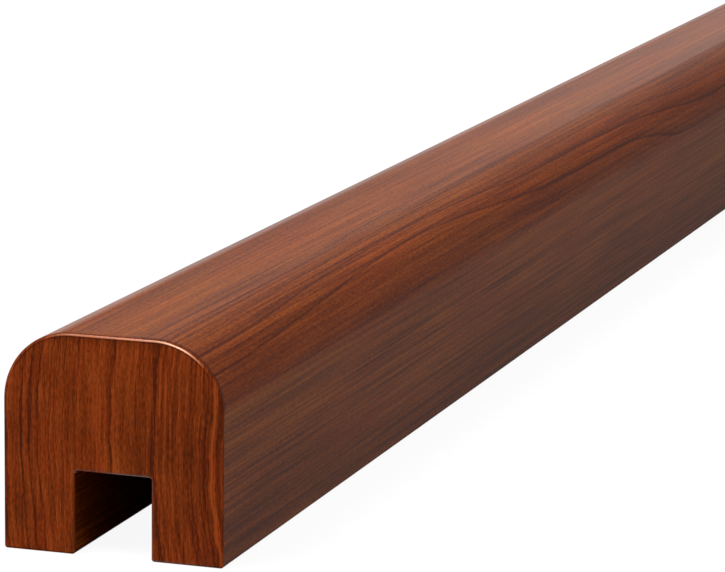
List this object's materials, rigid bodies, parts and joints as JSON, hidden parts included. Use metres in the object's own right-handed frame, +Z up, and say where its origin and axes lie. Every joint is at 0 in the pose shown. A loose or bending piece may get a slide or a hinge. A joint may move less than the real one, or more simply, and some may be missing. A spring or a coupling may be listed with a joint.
{
  "type": "stair handrail length",
  "caption": "Straight length of stained hardwood stair handrail with a flat top, rounded shoulders, square sides and a square groove along the underside.",
  "frame": {"origin": "middle of the length, under the centre of the section, on the plane of the two soles", "axes": "+X across the rail, +Y along its length, +Z up from the soles to the hand side"},
  "size_m": [0.06, 1.2, 0.058],
  "materials": {
    "stained_hardwood": "dark reddish-brown stain under a clear semi-gloss lacquer"
  },
  "bodies": {
    "root": {"handrail": "stained_hardwood"}
  },
  "joints": []
}
